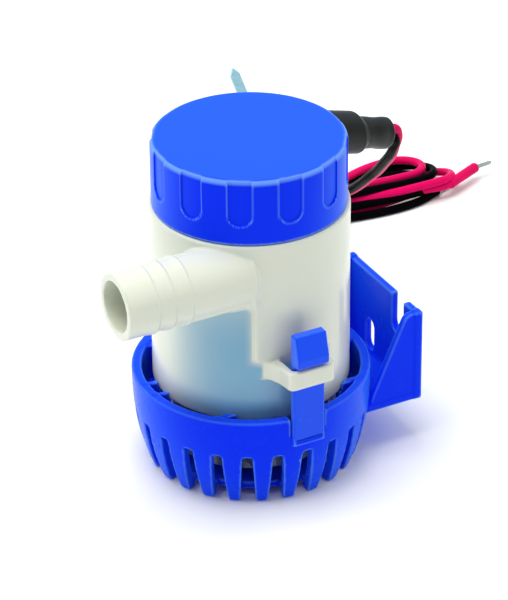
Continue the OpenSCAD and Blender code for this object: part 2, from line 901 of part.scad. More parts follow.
// Plan view of the folded hank: round ends and a waist where the tie squeezes it
module hank_outline() {
    translate([hank_x, hank_low_y]) circle(r = hank_low_r);
    translate(hank_high) circle(r = hank_high_r);
    for (end = [[hank_x, hank_low_y, hank_low_r], [hank_high[0], hank_high[1], hank_high_r]]) {
        right = hank_side(1, end[0], end[1], end[2]);
        left = hank_side(-1, end[0], end[1], end[2]);
        polygon(concat(right, [for (k = [8:-1:0]) left[k]]));
    }
}

// Both leads folded back and forth, as the closed outer shape of the bundle
module lead_hank() {
    slack = 0.05;
    color(carbon)
    difference() {
        linear_extrude(height = hank_h) hank_outline();
        difference() {
            block([hank_x - 20, tie_y - tie_w / 2 - 0.2, -1],
                [hank_x + 20, tie_y + tie_w / 2 + 0.2, hank_h + 1]);
            block([hank_x - tie_in + slack, tie_y - 4, tie_t + slack],
                [hank_x + tie_in - slack, tie_y + 4, hank_h]);
        }
    }
}

// Strap round the bundle, its square head on top and the free tail standing up
module cable_tie() {
    out = tie_in + tie_t;
    head_low_z = tie_top_z + tie_t - 0.1;
    head_h = 4.6;
    color(turquoise) {
        difference() {
            block([hank_x - out, tie_y - tie_w / 2, 0],
                [hank_x + out, tie_y + tie_w / 2, tie_top_z + tie_t]);
            block([hank_x - tie_in, tie_y - 3, tie_t], [hank_x + tie_in, tie_y + 3, tie_top_z]);
        }
        block([hank_x - 0.8, tie_y - 3, head_low_z], [hank_x + 4.8, tie_y + 3, head_low_z + head_h]);
        translate([hank_x + 1.6, tie_y, head_low_z + head_h - 0.2])
            rotate([90, 0, 90])
                linear_extrude(height = 1.1)
                    polygon([[-1.7, 0], [1.7, 0], [-10.9, 22.9], [-20, 47.3], [-22.4, 49.6],
                        [-23.2, 46.3], [-14.4, 22.5]]);
    }
}

// Marking sleeve on the red lead's end
module red_end_sleeve() {
    color(red)
    translate(sleeve_start) rotate([-90, 0, sleeve_turn]) cylinder(r = 1.75, h = sleeve_len);
}

// Stripped and tinned strands at the lead ends
module red_wire_tip() {
    start = sleeve_start + (sleeve_len + 0.02) * [-sin(sleeve_turn), cos(sleeve_turn), 0];
    color(steel)
    translate(start) rotate([-90, 0, 5]) cylinder(r = 0.75, h = 6.4);
}

module black_wire_tip() {
    color(steel)
    translate(black_end) rotate([-90, 0, 20]) cylinder(r = 0.75, h = 5.8);
}

strainer_base();
latch_front();
latch_rear();
pump_housing();
barb_pipe();
intake_plate();
motor_cap();
cap_seal();
cable_boot();
cable_gland();
motor_can();
stator_magnets();
end_bell();
brushes();
brush_springs();
terminals();
lower_bearing();
upper_bearing();
motor_screws();
shaft_seal();
inner_red_wire();
inner_black_wire();
motor_shaft();
impeller();
armature_core();
armature_windings();
commutator();
red_lead();
black_lead();
lead_hank();
cable_tie();
red_end_sleeve();
red_wire_tip();
black_wire_tip();
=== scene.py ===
"""Looks of a cartridge bilge pump in its slotted strainer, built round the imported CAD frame.

Shapes are written in millimetres, in the CAD frame, and scaled to metres when a mesh is made.
"""

import math

import bpy
import numpy as np
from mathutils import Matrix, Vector


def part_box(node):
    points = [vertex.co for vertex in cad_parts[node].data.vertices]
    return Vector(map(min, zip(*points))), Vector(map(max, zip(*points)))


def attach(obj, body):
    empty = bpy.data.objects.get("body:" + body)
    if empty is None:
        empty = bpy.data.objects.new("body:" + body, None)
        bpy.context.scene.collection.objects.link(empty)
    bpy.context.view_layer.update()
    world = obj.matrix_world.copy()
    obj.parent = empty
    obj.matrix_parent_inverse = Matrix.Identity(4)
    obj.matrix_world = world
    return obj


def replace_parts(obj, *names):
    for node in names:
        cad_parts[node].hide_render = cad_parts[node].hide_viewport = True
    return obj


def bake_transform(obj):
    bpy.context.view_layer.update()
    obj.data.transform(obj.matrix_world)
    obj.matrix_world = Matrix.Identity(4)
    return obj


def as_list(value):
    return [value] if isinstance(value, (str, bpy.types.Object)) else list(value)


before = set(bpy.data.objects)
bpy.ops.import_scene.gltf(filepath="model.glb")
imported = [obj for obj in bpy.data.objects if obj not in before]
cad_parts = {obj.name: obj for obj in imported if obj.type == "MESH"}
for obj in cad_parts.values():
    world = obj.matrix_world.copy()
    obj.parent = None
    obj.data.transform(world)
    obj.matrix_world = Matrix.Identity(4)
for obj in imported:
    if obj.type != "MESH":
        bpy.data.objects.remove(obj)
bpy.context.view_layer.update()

MM = 0.001
SPLIT = 8  # grid cells along one side of a block
CELL = 0.5  # size of a grid cell for the large shells
FINE = 0.35  # size of a grid cell for small pieces


# ---------------------------------------------------------------- camera and light


def aim(obj, target, roll=0.0):
    """Turns obj so that its -Z looks at target, with +Y up, rolled by an angle in degrees."""
    ahead = Vector(target) - obj.location
    obj.rotation_euler = ahead.to_track_quat("-Z", "Y").to_euler()
    obj.rotation_euler.rotate_axis("Z", math.radians(roll))


def make_camera():
    """A long lens from in front, a little above, turned towards the latch and the barb."""
    azimuth, elevation, distance = math.radians(62.19), math.radians(30.41), 0.9385
    pan = 0.00106
    target = Vector((0, 0, 0.05))
    away = Vector((-math.sin(azimuth), math.cos(azimuth), 0))
    ahead = away * math.cos(elevation) - Vector((0, 0, math.sin(elevation)))
    right = Vector((math.cos(azimuth), math.sin(azimuth), 0))
    data = bpy.data.cameras.new("camera")
    data.lens, data.sensor_width = 193.35, 36
    camera = bpy.data.objects.new("camera", data)
    bpy.context.scene.collection.objects.link(camera)
    camera.location = target - ahead * distance + right * pan
    aim(camera, target + right * pan, roll=-0.53)
    bpy.context.scene.camera = camera


def area_light(name, place, target, size, power, colour):
    """A soft box that lights surfaces but isn't mirrored in them."""
    data = bpy.data.lights.new(name, "AREA")
    data.shape, data.size, data.size_y = "RECTANGLE", size[0], size[1]
    data.energy, data.color = power, colour
    light = bpy.data.objects.new(name, data)
    bpy.context.scene.collection.objects.link(light)
    light.location = place
    light.visible_glossy = False
    aim(light, target)


def make_sky(base, lobes):
    """A sky of one base colour plus soft lobes of light, each about its own direction."""
    world = bpy.data.worlds.new("studio")
    bpy.context.scene.world = world
    world.use_nodes = True
    nodes, links = world.node_tree.nodes, world.node_tree.links
    coord = nodes.new("ShaderNodeTexCoord").outputs["Generated"]
    total = None
    for direction, start, colour in lobes:
        facing = nodes.new("ShaderNodeVectorMath")
        facing.operation = "DOT_PRODUCT"
        facing.inputs[1].default_value = Vector(direction).normalized()
        rise = nodes.new("ShaderNodeMapRange")
        rise.interpolation_type = "SMOOTHSTEP"
        rise.inputs["From Min"].default_value = start
        scaled = nodes.new("ShaderNodeVectorMath")
        scaled.operation = "SCALE"
        scaled.inputs[0].default_value = colour
        added = nodes.new("ShaderNodeVectorMath")
        added.inputs[1].default_value = base
        links.new(coord, facing.inputs[0])
        links.new(facing.outputs["Value"], rise.inputs["Value"])
        links.new(rise.outputs["Result"], scaled.inputs["Scale"])
        links.new(scaled.outputs["Vector"], added.inputs[0])
        if total:
            links.new(total, added.inputs[1])
        total = added.outputs["Vector"]
    links.new(total, nodes["Background"].inputs["Color"])
    nodes["Background"].inputs["Strength"].default_value = 1


def studio():
    """A sky of four soft lobes that is dim low in front, and one soft box over the floor."""
    view = bpy.context.scene.view_settings
    view.view_transform, view.look, view.exposure, view.gamma = "Standard", "None", 0, 1
    left, right, back = (-0.47, -0.88, 0.3), (0.47, 0.88, 0.4), (-0.88, 0.47, 0.35)
    make_sky((0.09, 0.11, 0.14), [((0, 0, 1), 0.3, (0.44, 0.43, 0.4)),
        (left, 0.3, (0.72, 0.73, 0.7)), (right, 0.4, (0.62, 0.63, 0.58)),
        (back, 0.2, (0.42, 0.52, 0.58))])
    area_light("top_box", (-0.05, -0.15, 1.0), (0, 0, 0.05), (0.6, 0.6), 7.6, (1, 0.97, 0.92))


# ---------------------------------------------------------------- materials


def srgb(r, g, b):
    """Linear colour of an 8-bit screen colour."""
    def linear(v):
        v /= 255
        return v / 12.92 if v <= 0.04045 else ((v + 0.055) / 1.055) ** 2.4
    return (linear(r), linear(g), linear(b), 1)


NOISE_SPAN = (0.3, 0.7)  # where nearly all values of a noise texture lie


class Material:
    """A node material built up step by step on one Principled shader."""

    def __init__(self, name):
        self.made = bpy.data.materials.new(name)
        self.made.use_nodes = True
        self.nodes, self.links = self.made.node_tree.nodes, self.made.node_tree.links
        self.shader = self.nodes["Principled BSDF"]
        self.coord = self.nodes.new("ShaderNodeTexCoord").outputs["Object"]

    def set(self, **values):
        """Sets uniform values on the shader's own sockets."""
        for name, value in values.items():
            self.shader.inputs[name.replace("_", " ")].default_value = value
        return self

    def stretched(self, scale):
        """Object coordinates with each axis scaled on its own."""
        mapping = self.nodes.new("ShaderNodeMapping")
        mapping.inputs["Scale"].default_value = scale
        self.links.new(self.coord, mapping.inputs["Vector"])
        return mapping.outputs["Vector"]

    def noise(self, scale, detail=2, rough=0.5, vector=None):
        node = self.nodes.new("ShaderNodeTexNoise")
        node.inputs["Scale"].default_value = scale
        node.inputs["Detail"].default_value = detail
        node.inputs["Roughness"].default_value = rough
        self.links.new(vector or self.coord, node.inputs["Vector"])
        return node.outputs["Fac"]

    def colours(self, value, dark, light):
        """Base colour between two colours as a noise value rises."""
        node = self.nodes.new("ShaderNodeValToRGB")
        for element, place, colour in zip(node.color_ramp.elements, NOISE_SPAN, (dark, light)):
            element.position, element.color = place, colour
        self.links.new(value, node.inputs["Fac"])
        self.links.new(node.outputs["Color"], self.shader.inputs["Base Color"])
        return self

    def span(self, value, low, high):
        """A share from 0 to 1 as a value goes from low to high."""
        node = self.nodes.new("ShaderNodeMapRange")
        node.interpolation_type = "SMOOTHSTEP"
        node.inputs["From Min"].default_value = low
        node.inputs["From Max"].default_value = high
        self.links.new(value, node.inputs["Value"])
        return node.outputs["Result"]

    def turned_away(self, low=0.15, high=0.9):
        """How far the surface turns from the viewer."""
        facing = self.nodes.new("ShaderNodeLayerWeight")
        facing.inputs["Blend"].default_value = 0.5
        return self.span(facing.outputs["Facing"], low, high)

    def edge_highlight(self, low, high):
        """How sharply the surface bulges out, which is where a painted highlight goes on an edge."""
        shape = self.nodes.new("ShaderNodeNewGeometry")
        return self.span(shape.outputs["Pointiness"], low, high)

    def place(self, axis, low, high):
        """How far along an object axis a point is, from low to high, in metres."""
        split = self.nodes.new("ShaderNodeSeparateXYZ")
        self.links.new(self.coord, split.inputs["Vector"])
        return self.span(split.outputs[axis], low, high)

    def both(self, one, other):
        """The product of two shares."""
        node = self.nodes.new("ShaderNodeMath")
        node.operation = "MULTIPLY"
        self.links.new(one, node.inputs[0])
        self.links.new(other, node.inputs[1])
        return node.outputs["Value"]

    def from_axis(self, low, high):
        """How far from the upright axis a point is, from low to high, in metres."""
        far = self.nodes.new("ShaderNodeVectorMath")
        far.operation = "LENGTH"
        self.links.new(self.stretched((1, 1, 0)), far.inputs[0])
        return self.span(far.outputs["Value"], low, high)

    def tint(self, share, colour):
        """Mixes the base colour with another one by a share."""
        mix = self.nodes.new("ShaderNodeMixRGB")
        mix.inputs["Color2"].default_value = colour
        base = self.shader.inputs["Base Color"]
        self.links.new(share, mix.inputs["Fac"])
        self.links.new(base.links[0].from_socket, mix.inputs["Color1"])
        self.links.new(mix.outputs["Color"], base)
        return self

    def roughness(self, value, low, high):
        """Roughness between two values as a noise value rises."""
        node = self.nodes.new("ShaderNodeMapRange")
        node.inputs["From Min"].default_value = NOISE_SPAN[0]
        node.inputs["From Max"].default_value = NOISE_SPAN[1]
        node.inputs["To Min"].default_value = low
        node.inputs["To Max"].default_value = high
        self.links.new(value, node.inputs["Value"])
        self.links.new(node.outputs["Result"], self.shader.inputs["Roughness"])
        return self

    def bump(self, value, depth, strength):
        """Adds a bump over any that is there."""
        node = self.nodes.new("ShaderNodeBump")
        node.inputs["Distance"].default_value = depth
        node.inputs["Strength"].default_value = strength
        self.links.new(value, node.inputs["Height"])
        old = self.shader.inputs["Normal"].links
        if old:
            self.links.new(old[0].from_socket, node.inputs["Normal"])
        self.links.new(node.outputs["Normal"], self.shader.inputs["Normal"])
        return self


def moulded_plastic(name, dark, light, rough=(0.26, 0.36), grain=0.000004):
    """Injection-moulded plastic: slow colour drift, patchy gloss and a fine tool texture."""
    m = Material(name)
    m.colours(m.noise(14), dark, light)
    m.roughness(m.noise(90, 3), *rough)
    m.bump(m.noise(2600, 2), grain, 0.5)
    m.bump(m.noise(45, 1), 0.00005, 0.1)
    return m


def brushed_metal(name, dark, light, along=(60, 60, 900), rough=(0.22, 0.38)):
    """Bare metal with streaks that are finest across the axis with the largest scale."""
    m = Material(name)
    streaks = m.noise(4, 5, 0.7, m.stretched(along))
    m.colours(streaks, dark, light)
    m.roughness(streaks, *rough)
    m.bump(streaks, 0.00001, 0.4)
    return m.set(Metallic=1.0)


def blue_plastics():
    """The blues of strainer, latches and cap, with painted light: a lighter copy for the latches, a
    sheen where they turn away, highlights on edges and the cap's bevel.
    """
    blue = moulded_plastic("blue_plastic", srgb(0, 44, 250), srgb(2, 50, 255), (0.24, 0.3))
    # Paler where the strainer turns from the viewer: a painted sheen.
    blue.tint(blue.turned_away(), srgb(36, 100, 255)).set(Specular_IOR_Level=0.05)
    # The latches' blue is the strainer's blue painted lighter, as painted light. It is paler again
    # where they turn from the viewer, a painted sheen.
    lit_latch_blue = moulded_plastic("latch_plastic", srgb(14, 76, 250), srgb(18, 82, 255), (0.24, 0.3))
    lit_latch_blue.tint(lit_latch_blue.turned_away(), srgb(70, 122, 255)).set(Specular_IOR_Level=0.16)
    cap_blue = moulded_plastic("cap_blue_plastic", srgb(0, 46, 252), srgb(4, 52, 255), (0.28, 0.34))
    # Paler where the cap turns from the viewer: a painted sheen.
    cap_blue.tint(cap_blue.turned_away(), srgb(44, 106, 255)).set(Specular_IOR_Level=0.05)
    # Painted highlight: a pale band on the cap's rounded top edge, just under the top face.
    bevel = cap_blue.both(cap_blue.place("Z", 0.1022, 0.1034), cap_blue.place("Z", 0.10405, 0.1038))
    cap_blue.tint(bevel, srgb(96, 146, 255))
    # Painted highlight on the cap's convex edges, such as the rims of the grip recesses.
    cap_blue.tint(cap_blue.edge_highlight(0.505, 0.575), srgb(116, 160, 255))
    # Painted highlight on the strainer's convex edges.
    blue.tint(blue.edge_highlight(0.51, 0.57), srgb(80, 134, 255))
    return dict(blue=blue, latch=lit_latch_blue, cap=cap_blue)


def white_plastic():
    """The housing's cream white, with painted teal shade and a painted blue reflection low in front,
    and painted grey-blue shade inside the strainer.
    """
    # The teal base is painted shade and a painted blue reflection. The masks below turn it to the
    # cream in the places they pick.
    white = moulded_plastic("white_plastic", srgb(112, 168, 200), srgb(120, 174, 204), (0.2, 0.26))
    beside_rib = white.both(white.place("Y", -0.0155, -0.0105), white.place("Z", 0.044, 0.047))
    cream_areas = (white.place("Z", 0.05, 0.09), white.turned_away(0.12, 0.6), beside_rib,
        white.place("Y", 0.001, 0.012), white.from_axis(0.0292, 0.0296))
    for area in cream_areas:
        white.tint(area, srgb(222, 225, 210))
    # Painted shade: grey-blue on the housing below 28 mm, the part that sits inside the strainer.
    white.tint(white.place("Z", 0.028, 0.026), srgb(88, 102, 124))
    white.set(Subsurface_Weight=0.15, Subsurface_Radius=(0.003, 0.0032, 0.0028))
    return white.set(Subsurface_Scale=1.0, Coat_Weight=0.2, Coat_Roughness=0.14)


def soft_plastics():
    """The boot, the seals, the leads' insulation and the tie."""
    rubber = moulded_plastic("seal_rubber", srgb(14, 14, 15), srgb(28, 28, 30), (0.5, 0.65), 0.00003)
    boot = moulded_plastic("shrink_boot", srgb(8, 9, 9), srgb(20, 22, 22), (0.3, 0.45), 0.00003)
    boot.bump(boot.noise(9, 3, 0.6, boot.stretched((10, 30, 60))), 0.0003, 0.3)
    boot.set(Specular_IOR_Level=0.25)
    red = moulded_plastic("red_pvc", srgb(212, 4, 86), srgb(234, 16, 106), (0.3, 0.42), 0.00002)
    sleeve = moulded_plastic("sleeve_pvc", srgb(204, 6, 80), srgb(228, 18, 98), (0.3, 0.42))
    for pvc in (red, sleeve):
        pvc.set(Specular_IOR_Level=0.03)
    black = moulded_plastic("black_pvc", srgb(3, 4, 6), srgb(9, 9, 12), (0.3, 0.42), 0.00002)
    black.set(Specular_IOR_Level=0.006)
    nylon = moulded_plastic("tie_nylon", srgb(150, 205, 214), srgb(176, 224, 232), (0.3, 0.4))
    nylon.set(Subsurface_Weight=0.3, Subsurface_Radius=(0.002, 0.002, 0.002))
    return dict(rubber=rubber, boot=boot, red=red, sleeve=sleeve, black=black, nylon=nylon)


def motor_materials():
    """The metals, ferrite and carbon of the motor, its bell, the impeller and the wire ends."""
    even = (300, 300, 300)
    return dict(
        impeller=moulded_plastic("impeller_plastic", srgb(196, 198, 190), srgb(214, 216, 208)),
        bell=moulded_plastic("bell_plastic", srgb(214, 210, 196), srgb(230, 226, 214), (0.4, 0.5)),
        magnet=moulded_plastic("ferrite", srgb(34, 34, 38), srgb(58, 58, 64), (0.5, 0.7), 0.00004),
        carbon=moulded_plastic("carbon", srgb(26, 26, 28), srgb(54, 54, 58), (0.55, 0.75), 0.00004),
        steel=brushed_metal("motor_steel", srgb(150, 152, 156), srgb(205, 207, 210)),
        shaft=brushed_metal("shaft_steel", srgb(170, 172, 176), srgb(222, 224, 226), (900, 900, 60)),
        core=brushed_metal("laminated_steel", srgb(90, 92, 96), srgb(150, 152, 156), (40, 40, 2400)),
        copper=brushed_metal("copper", srgb(160, 86, 52), srgb(214, 132, 90)),
        winding=brushed_metal("winding_copper", srgb(120, 52, 26), srgb(196, 104, 58), (60, 60, 2600)),
        bronze=brushed_metal("bronze", srgb(140, 104, 58), srgb(190, 150, 92), even),
        tinned=brushed_metal("tinned_copper", srgb(140, 150, 152), srgb(214, 222, 222)))


def make_materials():
    all_of_them = dict(white=white_plastic(), **blue_plastics(), **soft_plastics(),
        **motor_materials())
    return {name: m.made for name, m in all_of_them.items()}


# ---------------------------------------------------------------- distance fields, in mm


def rounded(a, b, r):
    """Where both fields are negative, with the edge between them rounded to radius r."""
    u, v = a + r, b + r
    return np.minimum(np.maximum(u, v), 0) + np.hypot(np.maximum(u, 0), np.maximum(v, 0)) - r


def filleted(a, b, r):
    """Where either field is negative, with a fillet of radius r between them."""
    return -rounded(-a, -b, r)


def slab(t, low, high):
    """Negative between two planes across one axis."""
    return np.abs(t - (low + high) / 2) - (high - low) / 2


def polygon(u, v, corners):
    """Signed distance in the plane to a closed outline."""
    best = np.full(np.shape(u), 1e9)
    inside = np.zeros(np.shape(u), bool)
    for (au, av), (bu, bv) in zip(corners, corners[1:] + corners[:1]):
        eu, ev = bu - au, bv - av
        wu, wv = u - au, v - av
        t = np.clip((wu * eu + wv * ev) / (eu * eu + ev * ev), 0, 1)
        best = np.minimum(best, (wu - eu * t) ** 2 + (wv - ev * t) ** 2)
        if ev:
            inside ^= ((av > v) != (bv > v)) & (wu < eu * wv / ev)
    return np.where(inside, -1, 1) * np.sqrt(best)


def inset(corners, r):
    """The outline with every edge moved inwards by r. Corners run anticlockwise."""
    moved = []
    count = len(corners)
    for k in range(count):
        before, here, after = corners[k - 1], corners[k], corners[(k + 1) % count]
        a = np.subtract(here, before) / math.dist(here, before)
        b = np.subtract(after, here) / math.dist(after, here)
        na, nb = np.array([-a[1], a[0]]), np.array([-b[1], b[0]])
        moved.append(tuple(np.array(here) + (na + nb) * r / (1 + na @ nb)))
    return moved


def soft_polygon(u, v, corners, r):
    """An anticlockwise outline whose outer corners are rounded to radius r."""
    return polygon(u, v, inset(corners, r)) - r


def disc(r, z, radius, low, high, edge=0.0):
    """A vertical cylinder between two heights."""
    return rounded(r - radius, slab(z, low, high), edge)


def box3(x, y, z, low, high, edge=0.3):
    """A box with every edge rounded."""
    q = [slab(t, a + edge, b - edge) for t, a, b in zip((x, y, z), low, high)]
    outside = np.sqrt(sum(np.maximum(d, 0) ** 2 for d in q))
    return outside + np.minimum(np.maximum(np.maximum(q[0], q[1]), q[2]), 0) - edge


def folded_angle(x, y, count, start):
    """The angle to the nearest of count equal directions, the first at start degrees."""
    pitch = 2 * math.pi / count
    return np.mod(np.arctan2(y, x) - math.radians(start) + pitch / 2, pitch) - pitch / 2


# ---------------------------------------------------------------- field to mesh


def sample_grid(field, low, high, cell):
    """Field values on a grid, worked out only in the blocks that the surface may cross."""
    low = np.array(low, float) - 2 * cell
    blocks = np.ceil((np.array(high) + 2 * cell - low) / (cell * SPLIT)).astype(int)
    centre = [low[i] + cell * SPLIT * (np.arange(blocks[i]) + 0.5) for i in range(3)]
    grid = np.meshgrid(*centre, indexing="ij")
    coarse = field(*[g.ravel() for g in grid]).reshape(blocks)
    near = np.argwhere(np.abs(coarse) < cell * SPLIT * 1.1)
    sign = np.where(coarse < 0, -9.0, 9.0).astype(np.float32)
    for axis in range(3):
        sign = np.repeat(sign, SPLIT, axis)
    values = np.pad(sign, [(0, 1)] * 3, mode="edge")
    steps = np.stack(np.meshgrid(*[np.arange(SPLIT + 1)] * 3, indexing="ij"), -1).reshape(-1, 3)
    for first in range(0, len(near), 400):
        index = (near[first:first + 400, None] * SPLIT + steps[None]).reshape(-1, 3)
        place = low + cell * index
        values[tuple(index.T)] = field(*place.T)
    return low, values


def crossings(values):
    """For each grid edge that the surface cuts: its axis, grid index, share along, direction."""
    for axis in range(3):
        ahead = np.moveaxis(values, axis, 0)
        cut = (ahead[:-1] < 0) != (ahead[1:] < 0)
        index = np.argwhere(np.moveaxis(cut, 0, axis))
        after = index.copy()
        after[:, axis] += 1
        a, b = values[tuple(index.T)], values[tuple(after.T)]
        yield axis, index, a / (a - b), a < 0


def net(values):
    """Surface nets: one point in each cell that the surface passes, one quad a cut edge."""
    shape = np.array(values.shape)
    owners, points, quads = [], [], []
    for axis, index, share, rising in crossings(values):
        place = index.astype(float)
        place[:, axis] += share
        shift = np.zeros((4, 3), int)
        shift[1:3, (axis + 1) % 3] = -1
        shift[2:4, (axis + 2) % 3] = -1
        cells = index[:, None] + shift[None]
        name = (cells[..., 0] * shape[1] + cells[..., 1]) * shape[2] + cells[..., 2]
        name = np.where(rising[:, None], name, name[:, ::-1])
        owners.append(name)
        points.append(np.repeat(place[:, None], 4, 1))
    owners, points = np.concatenate(owners), np.concatenate(points)
    names, faces = np.unique(owners.ravel(), return_inverse=True)
    count = np.bincount(faces, minlength=len(names))
    flat = points.reshape(-1, 3)
    mean = np.stack([np.bincount(faces, flat[:, k], len(names)) / count for k in range(3)], 1)
    return mean, faces.reshape(-1, 4)


def slope(field, points, step):
    """The field's gradient by four samples."""
    total = np.zeros_like(points)
    for corner in ((1, -1, -1), (-1, -1, 1), (-1, 1, -1), (1, 1, 1)):
        offset = np.array(corner, float)
        total += offset * field(*(points + step * offset).T)[:, None]
    return total / (4 * step)


def surface_of(field, low, high, cell):
    """Points, quads and normals of the surface where the field is zero."""
    start, values = sample_grid(field, low, high, cell)
    points, faces = net(values)
    points = start + points * cell
    for _ in range(2):
        lean = slope(field, points, cell * 0.05)
        move = field(*points.T)[:, None] * lean / np.maximum((lean ** 2).sum(1), 0.2)[:, None]
        points -= np.clip(move, -cell / 2, cell / 2)
    normal = slope(field, points, cell * 0.12)
    normal /= np.maximum(np.linalg.norm(normal, axis=1), 1e-9)[:, None]
    return points, faces, normal


# ---------------------------------------------------------------- meshes to pieces


def add_mesh(name, points, faces, material, slot, normals=None):
    """A smooth-shaded object from points in millimetres and faces of equal or mixed size."""
    mesh = bpy.data.meshes.new(name)
    mesh.from_pydata((np.asarray(points) * MM).tolist(), [], np.asarray(faces).tolist()
        if isinstance(faces, np.ndarray) else faces)
    mesh.polygons.foreach_set("use_smooth", [True] * len(mesh.polygons))
    mesh.materials.append(material)
    mesh.update()
    if normals is not None:
        mesh.normals_split_custom_set_from_vertices(normals.tolist())
    piece = bpy.data.objects.new(name, mesh)
    bpy.context.scene.collection.objects.link(piece)
    return piece


def solid(name, field, low, high, cell, material, slot):
    """A piece with the surface of a distance field."""
    points, faces, normals = surface_of(field, low, high, cell)
    return add_mesh(name, points, faces, material, slot, normals)


def along_axis(points, start, direction):
    """Distance along an axis and away from it."""
    offset = points - np.asarray(start)
    along = offset @ direction
    return along, np.linalg.norm(offset - along[:, None] * direction, axis=1)


def smooth_curve(points, spacing):
    """In-between points on the smooth curve through the given ones, evenly spaced."""
    p = np.asarray(points, float)
    p = np.vstack([2 * p[0] - p[1], p, 2 * p[-1] - p[-2]])
    dense = []
    for k in range(1, len(p) - 2):
        a, b, c, d = p[k - 1:k + 3]
        for t in np.linspace(0, 1, 24, endpoint=False):
            dense.append(0.5 * (2 * b + (c - a) * t + (2 * a - 5 * b + 4 * c - d) * t * t
                + (3 * b - a - 3 * c + d) * t ** 3))
    dense = np.array(dense + [p[-2]])
    far = np.concatenate([[0], np.cumsum(np.linalg.norm(np.diff(dense, axis=0), axis=1))])
    even = np.linspace(0, far[-1], max(2, round(far[-1] / spacing) + 1))
    return np.stack([np.interp(even, far, dense[:, k]) for k in range(3)], 1)


def sweep(path, radius, sides):
    """Points and faces of a closed round tube along a path. Radius is a number or a list."""
    count = len(path)
    heading = np.gradient(path, axis=0)
    heading /= np.linalg.norm(heading, axis=1)[:, None]
    side = np.cross(heading[0], [0, 0, 1])
    if np.linalg.norm(side) < 0.1:
        side = np.cross(heading[0], [1, 0, 0])
    radii = np.broadcast_to(radius, count)
    turn = np.arange(sides) * 2 * math.pi / sides
    points = []
    for k in range(count):
        side = side - heading[k] * (side @ heading[k])
        side /= np.linalg.norm(side)
        up = np.cross(side, heading[k])
        points.append(path[k] + radii[k] * (np.cos(turn)[:, None] * side
            + np.sin(turn)[:, None] * up))
    faces = [[k * sides + i, k * sides + (i + 1) % sides, (k + 1) * sides + (i + 1) % sides,
        (k + 1) * sides + i] for k in range(count - 1) for i in range(sides)]
    faces.append(list(range(sides))[::-1])
    faces.append([(count - 1) * sides + i for i in range(sides)])
    return np.concatenate(points), faces


def joined(parts):
    """One list of points and faces from several."""
    points, faces, first = [], [], 0
    for some_points, some_faces in parts:
        points.append(some_points)
        faces += [[first + i for i in face] for face in some_faces]
        first += len(some_points)
    return np.concatenate(points), faces


# ---------------------------------------------------------------- leads

LEAD_D, LEAD_STEP, LEAD_SIDES = 2.8, 1.1, 14
BLACK_ROUTE = [[-9.9, 51.3, 85.7], [-10.4, 53.6, 84.9], [-11.8, 55.3, 82.6], [-14.6, 56.2, 79.2],
    [-20, 58.2, 73.8], [-28.5, 61, 66.5], [-38.5, 64.4, 58.2], [-50, 68, 49.4],
    [-63, 72.6, 39.8], [-76, 77, 30.6], [-88, 80.4, 22.8], [-98, 82.6, 17.6],
    [-107, 84, 14.4], [-113.5, 83.4, 12.2], [-116.8, 80, 10]]
RED_ROUTE = [[-10.2, 52.3, 88.5], [-11.2, 55, 87.2], [-13.2, 56.9, 83.4], [-16.4, 58, 78.6],
    [-21.8, 60.1, 72.4], [-30.3, 62.9, 65], [-40.3, 66.3, 56.7], [-51.8, 69.9, 47.9],
    [-64.8, 74.5, 38.3], [-77.8, 78.9, 29.1], [-89.6, 82.2, 21.1], [-99, 83, 14.9],
    [-105.8, 82, 12.1], [-110.5, 81.2, 11.3], [-113.6, 78.8, 10]]
TIE_Y = 75
FOLD_Y = 40.6
HANK_X = -113
LAYERS = (8.3, 5.5, 2.7)  # heights of a lead's middle under the tie, from the top
FOLD_LAYERS = (7.0, 4.2, 1.4)  # and in the folds at the near end
SLEEVE_START = np.array([-104.4, 131.7, 4.6])
SLEEVE_LENGTH = 15.5
SLEEVE_AHEAD = np.array([-math.sin(math.radians(24)), math.cos(math.radians(24)), 0])
BLACK_END = [-107.2, 128.5, 1.4]


def ease(t):
    """A smooth rise from 0 to 1 that starts and ends level."""
    return (1 - math.cos(math.pi * min(1, max(0, t)))) / 2


def half_pass(tie_x, tie_z, end_x, end_y, end_z, outwards, lift=(0.4, 1.0), steps=7):
    """A run between the tie and a fold, as points that leave out the fold's own end."""
    run = []
    for k in range(steps):
        t = k / steps
        rise = ease((t - lift[0]) / (lift[1] - lift[0]))
        run.append([tie_x + (end_x - tie_x) * ease(t), TIE_Y + (end_y - TIE_Y) * t,
            tie_z + (end_z - tie_z) * rise])
    return run if outwards else run[:0:-1]


def half_turn(x, y, r, z0, z1, steps=10):
    """A half turn anticlockwise round (x, y), from +X, or from -X with a negative radius."""
    turn = np.linspace(0, math.pi, steps + 1)
    return [[x + r * math.cos(a), y + r * math.sin(a), z0 + (z1 - z0) * ease(a / math.pi)]
        for a in turn]


def hank_turns(far_x, near_x, left_r, right_folds):
    """Five runs and their folds: from the tie outwards, back, and at last to the bottom run."""
    points = []
    far_end = (HANK_X - left_r, FOLD_Y)
    near_end = (HANK_X + left_r, FOLD_Y)
    start = None
    for layer in range(3):
        top, low = LAYERS[layer], FOLD_LAYERS[layer]
        if start is not None:
            points += half_pass(far_x, top, *start, outwards=False, lift=back)
        points += half_pass(far_x, top, *far_end, low, outwards=True)
        points += half_turn(HANK_X, FOLD_Y, -left_r, low, low)
        points += half_pass(near_x, top, *near_end, low, outwards=False)
        if layer < 2:
            x, y, r, z_near, z_far, lift, back = right_folds[layer]
            points += half_pass(near_x, top, x + r, y, z_near, outwards=True, lift=lift)
            points += half_turn(x, y, r, z_near, z_far)
            start = (x - r, y, z_far)
    points.append([near_x, TIE_Y, LAYERS[2]])
    return points


